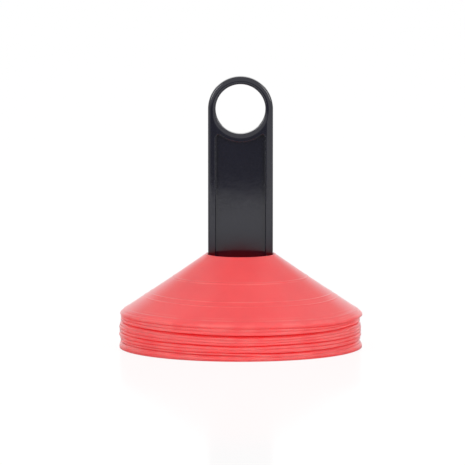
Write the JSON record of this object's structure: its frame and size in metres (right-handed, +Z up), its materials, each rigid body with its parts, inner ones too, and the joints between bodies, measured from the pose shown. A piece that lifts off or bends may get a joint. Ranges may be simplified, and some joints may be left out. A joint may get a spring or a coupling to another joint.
{
  "type": "sports marker cone",
  "caption": "Stack of nested disc marker cones on a flat upright carry handle with a finger ring at the top and a round foot hidden under the stack.",
  "frame": {"origin": "centre of the stack's footprint, on the ground the stack and the foot stand on", "axes": "+Z up the handle, +Y through the finger ring's bore, +X across the blade"},
  "size_m": [0.2, 0.2, 0.2245],
  "materials": {
    "cone_red": "satin flexible plastic, lightly translucent at thin edges",
    "holder_black": "smooth moulded plastic with soft reflections"
  },
  "bodies": {
    "carrier": {"carry_handle": "holder_black", "foot_plate": "holder_black"},
    "cone_01": {"marker_cone_01": "cone_red"},
    "cone_02": {"marker_cone_02": "cone_red"},
    "cone_03": {"marker_cone_03": "cone_red"},
    "cone_04": {"marker_cone_04": "cone_red"},
    "cone_05": {"marker_cone_05": "cone_red"},
    "cone_06": {"marker_cone_06": "cone_red"},
    "cone_07": {"marker_cone_07": "cone_red"},
    "cone_08": {"marker_cone_08": "cone_red"},
    "cone_09": {"marker_cone_09": "cone_red"},
    "cone_10": {"marker_cone_10": "cone_red"}
  },
  "joints": [
    {"name": "cone_01_lift", "type": "slide", "parent": "carrier", "child": "cone_01", "axis": [0, 0, 1], "range_m": [-0.027, 0.2295]},
    {"name": "cone_02_lift", "type": "slide", "parent": "cone_01", "child": "cone_02", "axis": [0, 0, 1], "range_m": [0, 0.22655]},
    {"name": "cone_03_lift", "type": "slide", "parent": "cone_02", "child": "cone_03", "axis": [0, 0, 1], "range_m": [0, 0.2236]},
    {"name": "cone_04_lift", "type": "slide", "parent": "cone_03", "child": "cone_04", "axis": [0, 0, 1], "range_m": [0, 0.22065]},
    {"name": "cone_05_lift", "type": "slide", "parent": "cone_04", "child": "cone_05", "axis": [0, 0, 1], "range_m": [0, 0.2177]},
    {"name": "cone_06_lift", "type": "slide", "parent": "cone_05", "child": "cone_06", "axis": [0, 0, 1], "range_m": [0, 0.21475]},
    {"name": "cone_07_lift", "type": "slide", "parent": "cone_06", "child": "cone_07", "axis": [0, 0, 1], "range_m": [0, 0.2118]},
    {"name": "cone_08_lift", "type": "slide", "parent": "cone_07", "child": "cone_08", "axis": [0, 0, 1], "range_m": [0, 0.20885]},
    {"name": "cone_09_lift", "type": "slide", "parent": "cone_08", "child": "cone_09", "axis": [0, 0, 1], "range_m": [0, 0.2059]},
    {"name": "cone_10_lift", "type": "slide", "parent": "cone_09", "child": "cone_10", "axis": [0, 0, 1], "range_m": [0, 0.20295]}
  ]
}
